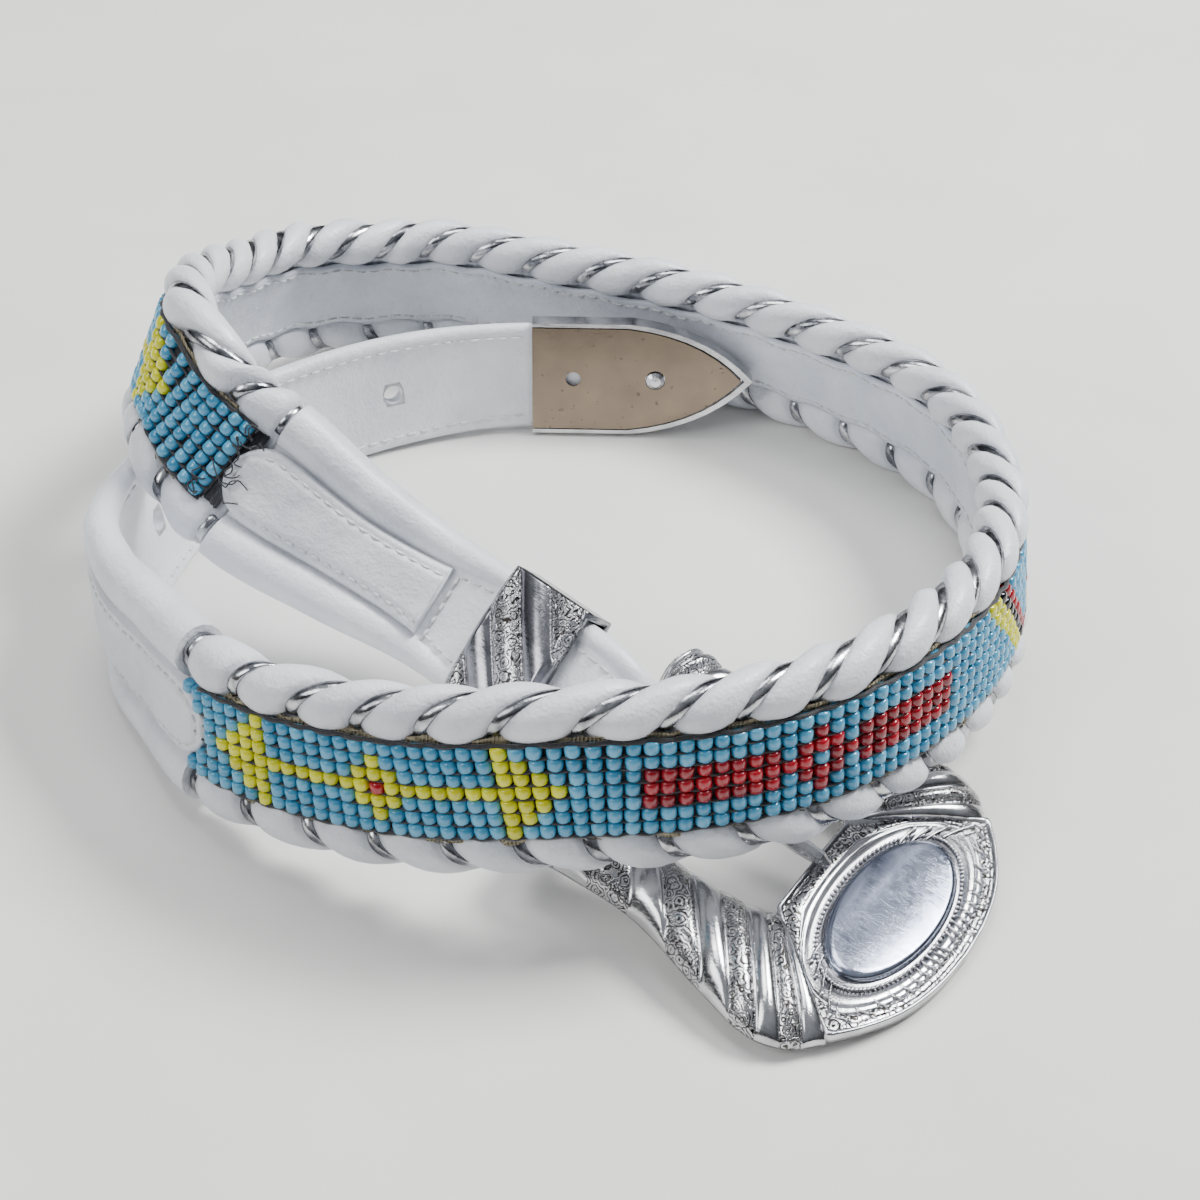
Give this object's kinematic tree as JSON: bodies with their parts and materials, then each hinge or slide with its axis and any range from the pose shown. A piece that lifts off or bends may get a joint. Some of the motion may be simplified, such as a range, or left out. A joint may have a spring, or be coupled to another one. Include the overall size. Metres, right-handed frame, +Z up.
{
  "type": "beaded belt",
  "caption": "Western leather belt with a laced padded edge, a loomed seed-bead strip, and an engraved silver buckle, keeper and tip, lying loosely coiled.",
  "frame": {"origin": "under the middle of the coiled belt's box, on the surface that it lies on", "axes": "+Z up; +X to the right and +Y away from the viewer in the picture"},
  "size_m": [0.193, 0.225, 0.0662],
  "materials": {
    "white_leather": "smooth pearly white, soft gloss",
    "lining_leather": "smooth white lining, satin",
    "overlay_leather": "white, stitched and slightly crumpled",
    "glass_beads": "opaque turquoise, yellow and red glass beads on dark thread",
    "engraved_silver": "bright plated casting, scroll engraved, darkened in the cuts",
    "tip_silver": "bright plated sheet",
    "tip_back": "dull copper-brown plate with worn spots",
    "prong_silver": "polished"
  },
  "bodies": {
    "belt": {"laced_band": "white_leather", "bead_strip": "glass_beads", "lining_panel": "lining_leather", "billet_strap": "white_leather", "buckle_strap": "white_leather", "billet_tab": "overlay_leather", "buckle_tab": "overlay_leather", "tip_shell": "tip_silver", "tip_plate": "tip_back", "tip_rivet": "tip_silver"},
    "keeper_loop": {"keeper": "engraved_silver"},
    "buckle": {"buckle_frame": "engraved_silver"},
    "tongue": {"prong": "prong_silver"}
  },
  "joints": [
    {"name": "keeper_slide", "type": "slide", "parent": "belt", "child": "keeper_loop", "axis": [0.7096, -0.7045, -0.0076], "range_m": [-0.002, 0.002]},
    {"name": "buckle_swivel", "type": "hinge", "parent": "belt", "child": "buckle", "pos_m": [0.01229, -0.05022, 0.01405], "axis": [-0.5446, -0.8387, 0], "range_deg": [0, 4]},
    {"name": "prong_pivot", "type": "hinge", "parent": "buckle", "child": "tongue", "pos_m": [0.01229, -0.05022, 0.01405], "axis": [-0.5446, -0.8387, 0], "range_deg": [0, 4]}
  ]
}
